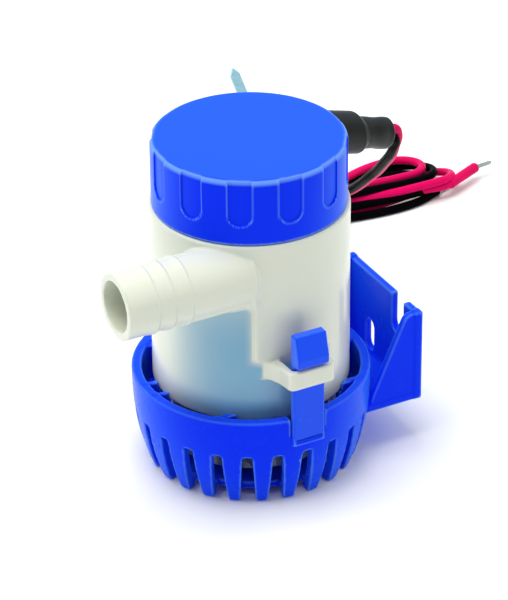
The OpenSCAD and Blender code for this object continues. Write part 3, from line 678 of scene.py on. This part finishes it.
def make_leads(materials):
    """Both leads, each one tube from the boot through the hank to its own end."""
    red_turns = hank_turns(-114.4, -111.6, 8.4,
        [(-121, 120.9, 8.4, 7.0, 4.2, (0.4, 1), (0.4, 1)),
            (-112.5, 127.5, 8.4, 7.0, 1.4, (0.4, 1), (0.4, 1))])
    black_turns = hank_turns(-117.2, -108.8, 11.2,
        [(-118.7, 121.5, 10.7, 7.0, 1.4, (0.4, 1), (0, 0.6)),
            (-114.8, 119, 9.7, 4.2, 1.4, (0, 0.5), (0.4, 1))])
    red_tail = [[-110.6, 84, 2.2], [-108.6, 97, 1.6], [-106.8, 109, 2.6], [-105.4, 121, 4.4],
        SLEEVE_START.tolist()]
    red_tail.append((SLEEVE_START + (SLEEVE_LENGTH - 0.6) * SLEEVE_AHEAD).tolist())
    black_tail = [[-107, 84, 2.2], [-104.6, 97, 1.4], [-103.3, 109, 1.4], [-104, 119.5, 1.4],
        BLACK_END]
    for name, route, turns, tail in (("red_lead_wire", RED_ROUTE, red_turns, red_tail),
            ("black_lead_wire", BLACK_ROUTE, black_turns, black_tail)):
        path = smooth_curve(route + turns[1:] + tail, LEAD_STEP)
        length = np.linalg.norm(np.diff(path, axis=0), axis=1).sum()
        points, faces = sweep(path, LEAD_D / 2, LEAD_SIDES)
        colour = name.split("_")[0]
        lead = add_mesh(name, points, faces, materials[colour], colour + "_pvc")
        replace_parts(lead, colour + "_lead", "lead_hank")
        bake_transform(lead)
        yield lead, path, length


# ---------------------------------------------------------------- strainer

RIM_R, FOOT_R, RIM_Z, STRAINER_WALL = 35.2, 30.6, 29.6, 3
FLOOR_Z = (1.8, 4)
SLOTS, SLOT_TOP_Z, SLOT_TOP_W, SLOT_FOOT_W, SLOT_ROOT_R = 24, 17.5, 3, 4.6, 26.5
SUPPORT_Z, CENTRING_Z, CENTRING_R = 26.6, 29.2, 29.3
BRACKET_Y, BRACKET_Z, BRACKET_X, BRACKET_T = (43.9, 46.3), (13.9, 43.4), 20.4, 2.4
ARM_OUT_X, LATCH_Y, ROOT_Z, LATCH_GAP = 35.7, 5, 24, 0.4


def strainer_wall(r, z):
    """Distances outside the strainer's outer and inner faces, which flare from foot to rim."""
    left = 1 - np.clip(z, 0, RIM_Z) / RIM_Z
    radius = FOOT_R + (RIM_R - FOOT_R) * (1 - left ** 2.5)
    lean = (RIM_R - FOOT_R) * 2.5 * left ** 1.5 / RIM_Z
    outside = (r - radius) / np.sqrt(1 + lean ** 2)
    return outside, -outside - STRAINER_WALL


def slots(x, y, z, r):
    """Inlet slots that narrow upwards and run under the wall's foot."""
    across = np.abs(r * np.sin(folded_angle(x, y, SLOTS, 0)))
    taper = (SLOT_FOOT_W - SLOT_TOP_W) / 2 / SLOT_TOP_Z
    sides = across - SLOT_FOOT_W / 2 + taper * z
    depth = np.maximum(SLOT_ROOT_R - r, r - RIM_R - 0.5)
    return rounded(rounded(sides, z - SLOT_TOP_Z, 0.7), depth, 0.2)


def gusset_outline():
    """Side view of a gusset: from the strainer's wall out to the bracket plate."""
    low, top = BRACKET_Z
    middle = (BRACKET_Y[0] - 1, top - 3)
    arc = [(middle[0] + 3 * math.cos(a), middle[1] + 3 * math.sin(a))
        for a in np.radians([90, 104, 118, 132, 146])]
    return [(28, low), (BRACKET_Y[1], low), (BRACKET_Y[1], top), *arc, (29.7, 18.2), (28, low + 1)]


GUSSET = gusset_outline()


def stadium(u, v, u0, v0, v1, radius):
    """A slot with round ends, upright at u0, from v0 to v1."""
    return np.hypot(u - u0, v - np.clip(v, v0, v1)) - radius


def strainer_ribs(x, y, z, outside):
    """Upright ribs in the cup that carry the pump's shoulder and centre it in the rim."""
    ax, ay = np.abs(x), np.abs(y)
    deep = box3(ax, ay, z, (22, 16.2, FLOOR_Z[0]), (24, 36, CENTRING_Z), 0.4)
    short = box3(ax, ay, z, (2.5, 28.2, SLOT_TOP_Z), (4.1, 36, CENTRING_Z), 0.4)
    ribs = np.maximum(np.minimum(deep, short), outside + STRAINER_WALL / 2)
    return rounded(ribs, -disc(np.hypot(x, y), z, CENTRING_R, SUPPORT_Z, 60), 0.25)


def bracket(x, y, z, outside):
    """The screw bracket: an upright plate on two gussets with a web under them."""
    low, high = BRACKET_Z
    plate = box3(x, y, z, (-BRACKET_X, BRACKET_Y[0], low), (BRACKET_X, BRACKET_Y[1], high), 0.5)
    gussets = slab(np.abs(x), BRACKET_X - BRACKET_T, BRACKET_X)
    side = rounded(soft_polygon(y, z, GUSSET, 0.5), gussets, 0.5)
    web = box3(x, y, z, (-BRACKET_X, 28, low), (BRACKET_X, BRACKET_Y[1], low + BRACKET_T), 0.5)
    side = np.maximum(filleted(side, web, 0.5), -outside - STRAINER_WALL / 2)
    return filleted(plate, side, 0.8)


def strainer(x, y, z):
    """The whole strainer moulding, without its latch arms."""
    r, ax, ay = np.hypot(x, y), np.abs(x), np.abs(y)
    outside, inside = strainer_wall(r, z)
    body = rounded(np.maximum(outside, inside), slab(z, 0, RIM_Z), 0.7)
    floor = rounded(outside + STRAINER_WALL / 2, slab(z, *FLOOR_Z), 0.3)
    body = filleted(body, floor, 0.8)
    body = filleted(body, strainer_ribs(x, y, z, outside), 0.7)
    pad_top = ROOT_Z - LATCH_GAP
    pad = box3(ax, y, z, (32, -LATCH_Y, 20.6), (ARM_OUT_X, LATCH_Y, pad_top), 0.4)
    body = filleted(body, pad, 0.3)
    body = filleted(body, bracket(x, y, z, outside), 0.9)
    body = rounded(body, -slots(x, y, z, r), 0.4)
    notch = np.maximum(rounded(ay - LATCH_Y - 0.5, pad_top - z, 0.6), 30.2 - ax)
    body = rounded(body, -notch, 0.4)
    hole = np.minimum(stadium(x, z, 9.8, 34.4, 60, 3.3), stadium(x, z, -6.4, 19.6, 25.4, 2.5))
    return rounded(body, -np.maximum(hole, 38 - y), 0.35)


# ---------------------------------------------------------------- latches

LATCH = [(33.4, 22), (35.7, 22), (35.7, 47.1), (38.4, 48), (38.4, 50.4), (36.6, 57.4), (33.6, 57.4),
    (33.4, 50)]


def latch(x, y, z):
    """The arm and its thumb head, which hooks over the loop's cross bar."""
    return rounded(soft_polygon(x, z, LATCH, 0.45), np.abs(y) - LATCH_Y, 0.5)


def rear_latch(x, y, z):
    """The same arm on the far side."""
    return latch(-x, y, z)


# ---------------------------------------------------------------- pump housing

HOUSING_R, SHELL_R, SHOULDER_Z, HOUSING_TOP_Z = 29, 26.8, 26.9, 83.7
NECK_R, NECK_IN_R, NECK_TOP_Z, GROOVE_Z = 25.2, 22.9, 92, 87.6
VOLUTE_R, PLATE_Z, CHAMBER_R, CHAMBER_TOP_Z = 25, 7.5, 22.8, 20
BARB_X, BARB_Z, BARB_R, BARB_BORE_R, BARB_MOUTH_Y = 19.5, 72.6, 9.8, 7.4, -52.6
RIDGES_Y = (-46.3, -41.2, -35.8)
DUCT_TOP_Z, WELL_R, WELL_BORE_R = 77.6, 16.25, 14.25
RIB_LEFT_Y, RIB_LOW_Z, CROWN_X, CROWN_R = -13.2, 46.8, 18.3, 9.8


def loops(ax, y, z):
    """The loops that the latches hook over: two wings and a cross bar."""
    wing = [(32.4, 8), (29.4, 9.2), (26.9, 10.9), (25.5, 12.2)]
    outline = [(x, -v) for x, v in wing[::-1]] + [(38, -7.2), (38, 7.2)] + wing
    hole = [(24, -6.6), (26, -6.6), (30.6, -5.6), (36, -5.4), (36, 5.4), (30.6, 5.6), (26, 6.6),
        (24, 6.6)]
    ring = rounded(soft_polygon(ax, y, outline, 1.6), -soft_polygon(ax, y, hole, 0.6), 0.2)
    return rounded(ring, slab(z, 41, 46.8), 0.6)


def riser_rib(x, y, z):
    """The bulge over the riser duct: flat below the barb, arched over it. Its flat face
    dives into the housing's cylinder on the side away from the barb."""
    outline = rounded(RIB_LEFT_Y - y, RIB_LOW_Z - z, 1.5)
    arch = np.hypot(x - CROWN_X, z - BARB_Z) - CROWN_R
    face = np.where(z > BARB_Z, arch, x - CROWN_X - CROWN_R)
    return np.maximum(rounded(face, outline, 0.8), np.maximum(y, 12 - x))


def barb(x, y, z):
    """The hose pipe with three soft ridges that rise slowly towards the pump."""
    away = np.hypot(x - BARB_X, z - BARB_Z)
    ridge = sum(np.clip((y - start) / 2.6, 0, 1) * np.clip((start + 3.1 - y) / 0.5, 0, 1)
        for start in RIDGES_Y)
    return rounded(away - BARB_R - 0.35 * ridge, slab(y, BARB_MOUTH_Y, RIB_LEFT_Y), 0.5)


def water_path(x, y, z, r):
    """The water's way: chamber, seat of the intake plate, riser duct and the barb's bore."""
    away = np.hypot(x - BARB_X, z - BARB_Z)
    chamber = disc(r, z, CHAMBER_R, 8, CHAMBER_TOP_Z, 0.5)
    seat = disc(r, z, CHAMBER_R + 1.1, 6, 9.5)
    bore = np.maximum(away - BARB_BORE_R, slab(y, BARB_MOUTH_Y - 5, -11.2))
    duct = box3(x, y, z, (19, -11, 12), (26, -2.5, DUCT_TOP_Z), 0.6)
    entry = box3(x, y, z, (10, -11, 12), (26, -2.5, CHAMBER_TOP_Z - 1), 0.6)
    mouth = box3(x, y, z, (19, -12, BARB_Z - 5), (26, -2.5, DUCT_TOP_Z), 0.6)
    path = np.minimum(np.minimum(chamber, seat), np.minimum(duct, entry))
    return np.minimum(path, np.minimum(bore, mouth))


def housing_outside(x, y, z, r):
    """The moulding's outer shape: volute, cylinder, neck, rib, barb and latch loops."""
    shell = disc(r, z, VOLUTE_R, PLATE_Z, SHOULDER_Z + 1, 0.6)
    shell = filleted(shell, disc(r, z, HOUSING_R, SHOULDER_Z, HOUSING_TOP_Z, 0.6), 0.4)
    shell = np.minimum(shell, disc(r, z, NECK_R, HOUSING_TOP_Z - 1, NECK_TOP_Z, 0.4))
    fittings = filleted(riser_rib(x, y, z), barb(x, y, z), 2.4)
    shell = filleted(shell, fittings, 0.9)
    return filleted(shell, loops(np.abs(x), y, z), 0.8)


def housing_hollow(r, z):
    """The dry space round the motor, open at the neck."""
    hollow = np.minimum(disc(r, z, VOLUTE_R - 1, 25, 30), disc(r, z, SHELL_R, 29.5, 80.5, 0.8))
    return np.minimum(hollow, disc(r, z, NECK_IN_R, 80, 99))


def housing_inner_walls(x, y, z, r):
    """What stands in the dry space: the riser, the barb's inner end and the motor's well."""
    riser = box3(x, y, z, (17, -13, 10), (40, -0.5, DUCT_TOP_Z + 2), 0.5)
    stub = np.maximum(np.hypot(x - BARB_X, z - BARB_Z) - BARB_R, slab(y, -29.5, -9.2))
    inner = np.maximum(np.minimum(riser, stub), r - HOUSING_R + 0.8)
    return np.minimum(inner, disc(r, z, WELL_R, 24, 71.5, 0.4))


def motor_seats(x, y, z, r):
    """Bores for the motor can, its nose, the shaft seal, the shaft and the two screws."""
    bores = np.minimum(disc(r, z, WELL_BORE_R, 25, 95), disc(r, z, 6.1, 23.4, 27))
    bores = np.minimum(bores, np.minimum(disc(r, z, 5.5, 19.5, 22.6), disc(r, z, 2.2, 19, 26)))
    screw = np.maximum(np.hypot(x, np.abs(y) - 8.4) - 1.3, slab(z, 19.5, 27))
    return np.minimum(bores, screw)


def housing(x, y, z):
    """The white moulding: outside, hollow, inner walls, water path, seats and seal groove."""
    r = np.hypot(x, y)
    shell = np.maximum(housing_outside(x, y, z, r), -housing_hollow(r, z))
    shell = np.minimum(shell, housing_inner_walls(x, y, z, r))
    shell = rounded(shell, -water_path(x, y, z, r), 0.35)
    groove = np.maximum(NECK_R - 1 - r, slab(z, GROOVE_Z - 0.9, GROOVE_Z + 0.9))
    return np.maximum(shell, -np.minimum(motor_seats(x, y, z, r), groove))


# ---------------------------------------------------------------- cap and cable outlet

CAP_R, CAP_Z, SKIRT_R, ROOF_Z = 28.2, (83.9, 104.1), 25.4, 101.9
RECESSES, RECESS_START, RECESS_W, RECESS_Z, RECESS_DEPTH = 12, 26.7, 6.7, 90, 0.6
OUTLET_TURN, OUTLET_DROOP = math.radians(101), math.radians(19.3)
OUTLET_AXIS = np.array([math.cos(OUTLET_DROOP) * math.cos(OUTLET_TURN),
    math.cos(OUTLET_DROOP) * math.sin(OUTLET_TURN), -math.sin(OUTLET_DROOP)])
OUTLET_START = np.array([28 * math.cos(OUTLET_TURN), 28 * math.sin(OUTLET_TURN), 95.8])
SPIGOT_R, SPIGOT_BORE_R, SPIGOT_LENGTH = 5, 3.3, 9.8
BOOT_R, BOOT_SMALL_R, BOOT_STEP, BOOT_ENDS = 6.3, 4.7, 11.2, (-3, 26)


def on_outlet(x, y, z):
    """Distance along the cable outlet's axis, and away from it."""
    return along_axis(np.stack([x, y, z], -1), OUTLET_START, OUTLET_AXIS)


def cap(x, y, z):
    """The screw cap with its grip recesses and the spigot for the leads."""
    r = np.hypot(x, y)
    body = rounded(disc(r, z, CAP_R, CAP_Z[0] - 2, CAP_Z[1], 1.5), CAP_Z[0] - z, 0.4)
    across = r * np.sin(folded_angle(x, y, RECESSES, RECESS_START))
    low = RECESS_Z + RECESS_W / 2
    slot = np.hypot(across, z - np.clip(z, low, 200)) - RECESS_W / 2
    body = rounded(body, -rounded(slot, CAP_R - RECESS_DEPTH - r, 0.25), 0.2)
    along, away = on_outlet(x, y, z)
    body = filleted(body, rounded(away - SPIGOT_R, slab(along, -4, SPIGOT_LENGTH), 0.4), 0.2)
    body = np.maximum(body, -disc(r, z, SKIRT_R, 70, ROOF_Z, 0.8))
    return np.maximum(body, -np.maximum(away - SPIGOT_BORE_R, slab(along, -8, 30)))


def boot(x, y, z):
    """Heat-shrink sleeve: wide over the spigot, then shrunk down on the two leads."""
    along, away = on_outlet(x, y, z)
    axis_side = np.cross(OUTLET_AXIS, (0, 0, 1)) / math.cos(OUTLET_DROOP)
    axis_up = np.cross(axis_side, OUTLET_AXIS)
    offset = np.stack([x, y, z], -1) - OUTLET_START
    side, up = offset @ axis_side, offset @ axis_up
    shrink = np.clip((along + 0.25 * up - BOOT_STEP) / 3.2, 0, 1)
    shrink = shrink * shrink * (3 - 2 * shrink)
    flat = np.clip((along - 15) / 8, 0, 1) * 0.5
    wave = 0.16 * np.sin(along * 0.8 + 1.3 * np.sin(np.arctan2(up, side) * 2 + 0.7))
    wave *= np.clip((along - 10) / 3, 0, 1)
    radius = BOOT_R - (BOOT_R - BOOT_SMALL_R) * shrink - wave * 0.6
    oval = np.hypot(side / (1 - flat * 0.22), up / (1 + flat * 0.04))
    body = rounded((oval - radius) * 0.85, slab(along + 0.1 * (up + BOOT_SMALL_R), *BOOT_ENDS), 1.0)
    body = rounded(body, CAP_R + 0.3 - np.hypot(x, y), 0.3)
    return np.maximum(body, -np.maximum(away - SPIGOT_R - 0.02, along - SPIGOT_LENGTH - 0.1))


# ---------------------------------------------------------------- tie, sleeve and wire ends

TIE_IN, TIE_T, TIE_TOP_Z, TIE_HALF_W = 5.75, 1.2, 9.8, 1.8


def tie(x, y, z):
    """Cable tie: a band with round corners, a square head and a ribbed tail that stands up."""
    u, v = x - HANK_X, y - TIE_Y
    middle = (TIE_TOP_Z + TIE_T) / 2
    outer = rounded(np.abs(u) - TIE_IN - TIE_T, np.abs(z - middle) - middle, 2.2)
    inner = rounded(np.abs(u) - TIE_IN, np.abs(z - middle) - middle + TIE_T, 1.2)
    band = rounded(np.maximum(outer, -inner), np.abs(v) - TIE_HALF_W, 0.3)
    head_z = TIE_TOP_Z + TIE_T - 0.1
    head = box3(u, v, z, (-0.8, -3, head_z), (4.8, 3, head_z + 4.6), 0.6)
    window = box3(u, v, z, (0.9, -1.9, head_z + 3), (3.4, 1.9, head_z + 6), 0.2)
    head = rounded(head, -window, 0.25)
    tail = [(-1.7, 12.9), (1.7, 12.9), (-10.9, 38.2), (-20, 62.6), (-22.4, 64.9), (-23.2, 61.6),
        (-14.4, 37.8)]
    ribs = 0.12 * np.abs(np.mod(z / 1.1, 1) - 0.5)
    strip = rounded(soft_polygon(v, z, tail, 0.3), np.abs(u - 2.15) - 0.55 + ribs, 0.25)
    return np.minimum(filleted(band, head, 0.4), strip)


def make_sleeve(materials):
    """Marking sleeve on the red lead's end: a thin tube, a little wider at its mouth."""
    stations = [0, 0.15, 0.5, 3, 6, 9, 12, 14.8, 15.3, SLEEVE_LENGTH]
    radii = [1.45, 1.68, 1.75, 1.72, 1.7, 1.72, 1.73, 1.75, 1.66, 1.45]
    path = SLEEVE_START + np.outer(stations, SLEEVE_AHEAD)
    points, faces = sweep(path, radii, 32)
    piece = add_mesh("red_end_sleeve_tube", points, faces, materials["sleeve"], "red_pvc")
    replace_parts(piece, "red_end_sleeve")
    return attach(piece, "base")


def make_tip(materials, name, node, start, turn, length):
    """Tinned strands twisted together: six round a core, drawn to a blunt end."""
    turn = math.radians(turn)
    ahead = np.array([-math.sin(turn), math.cos(turn), 0])
    side, up = np.array([math.cos(turn), math.sin(turn), 0]), np.array([0, 0, 1.0])
    along = np.linspace(0, length, 40)
    parts = [sweep(start + np.outer(along, ahead), 0.27, 8)]
    for k in range(6):
        angle = k * math.pi / 3 + along * 0.75
        spread = 0.47 - 0.12 * np.clip((along - length + 1.2) / 1.2, 0, 1)
        path = start + np.outer(along, ahead) + (spread * np.cos(angle))[:, None] * side
        path += (spread * np.sin(angle))[:, None] * up
        parts.append(sweep(path, 0.26, 8))
    piece = add_mesh(name, *joined(parts), materials["tinned"], "tinned_copper")
    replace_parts(piece, node)
    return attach(piece, "base")


# ---------------------------------------------------------------- the whole object


def stand_in(name, field, low, high, cell, material, slot, body, *nodes):
    """A distance-field piece that rides a body in place of CAD nodes."""
    piece = solid(name, field, low, high, cell, material, slot)
    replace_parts(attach(piece, body), *nodes)


def box_mm(node):
    """The low and high corners of a CAD node's box, in millimetres."""
    return [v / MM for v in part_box(node)]


def make_shells(materials):
    """The moulded shells, each in place of its CAD node."""
    stand_in("strainer", strainer, *box_mm("strainer_base"), CELL, materials["blue"],
        "strainer_plastic", "base", "strainer_base")
    low, high = box_mm("pump_housing")
    low.y = BARB_MOUTH_Y
    stand_in("housing", housing, low, high, CELL, materials["white"],
        "housing_plastic", "pump", "pump_housing", "barb_pipe")
    stand_in("cap", cap, *box_mm("motor_cap"), CELL, materials["cap"],
        "cap_plastic", "pump", "motor_cap")


def make_latches(materials):
    """Both latch arms, each in place of its CAD node."""
    for side, field, x in (("front", latch, 0.0346), ("rear", rear_latch, -0.0346)):
        low, high = box_mm("latch_" + side)
        low.z = LATCH[0][1]
        arm = solid(side + "_latch_arm", field, low, high, FINE, materials["latch"],
            "strainer_plastic")
        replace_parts(arm, "latch_" + side)
        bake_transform(arm)


def make_boot_and_tie(materials):
    """The heat-shrink boot and the cable tie."""
    stand_in("boot", boot, *box_mm("cable_boot"), FINE, materials["boot"],
        "shrink_boot", "pump", "cable_boot")
    stand_in("tie", tie, *box_mm("cable_tie"), FINE * 0.8, materials["nylon"],
        "tie_nylon", "base", "cable_tie")


def dress_inner_parts(materials):
    """Gives every CAD node that stays its own procedural material."""
    looks = dict(intake_plate="white", cap_seal="rubber", cable_gland="rubber", motor_can="steel",
        stator_magnets="magnet", end_bell="bell", brushes="carbon", brush_springs="copper",
        terminals="copper", lower_bearing="bronze", upper_bearing="bronze", motor_screws="steel",
        shaft_seal="rubber", inner_red_wire="red", inner_black_wire="black", motor_shaft="shaft",
        impeller="impeller", armature_core="core", armature_windings="winding",
        commutator="copper")
    for node, look in looks.items():
        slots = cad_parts[node].data.materials
        slots.clear()
        slots.append(materials[look])


def make_floor():
    """A plain pale floor."""
    mesh = bpy.data.meshes.new("floor")
    half = 3
    mesh.from_pydata([(-half, -half, 0), (half, -half, 0), (half, half, 0), (-half, half, 0)], [],
        [(0, 1, 2, 3)])
    floor = bpy.data.objects.new("floor", mesh)
    bpy.context.scene.collection.objects.link(floor)
    m = Material("floor_paper")
    m.colours(m.noise(30, 3), srgb(250, 250, 250), srgb(253, 253, 253))
    m.set(Roughness=0.9, Specular_IOR_Level=0.1)
    mesh.materials.append(m.made)


make_camera()
studio()
materials = make_materials()
leads = list(make_leads(materials))
sleeve = make_sleeve(materials)
sleeve_end = SLEEVE_START + SLEEVE_LENGTH * SLEEVE_AHEAD
red_tip = make_tip(materials, "red_tip", "red_wire_tip", sleeve_end, turn=5, length=6.4)
black_tip = make_tip(materials, "black_tip", "black_wire_tip", BLACK_END, turn=20, length=5.8)
make_shells(materials)
make_latches(materials)
make_boot_and_tie(materials)
dress_inner_parts(materials)
make_floor()
for (lead, path, length), extras in zip(leads, ([sleeve, red_tip], [black_tip])):
    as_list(extras)
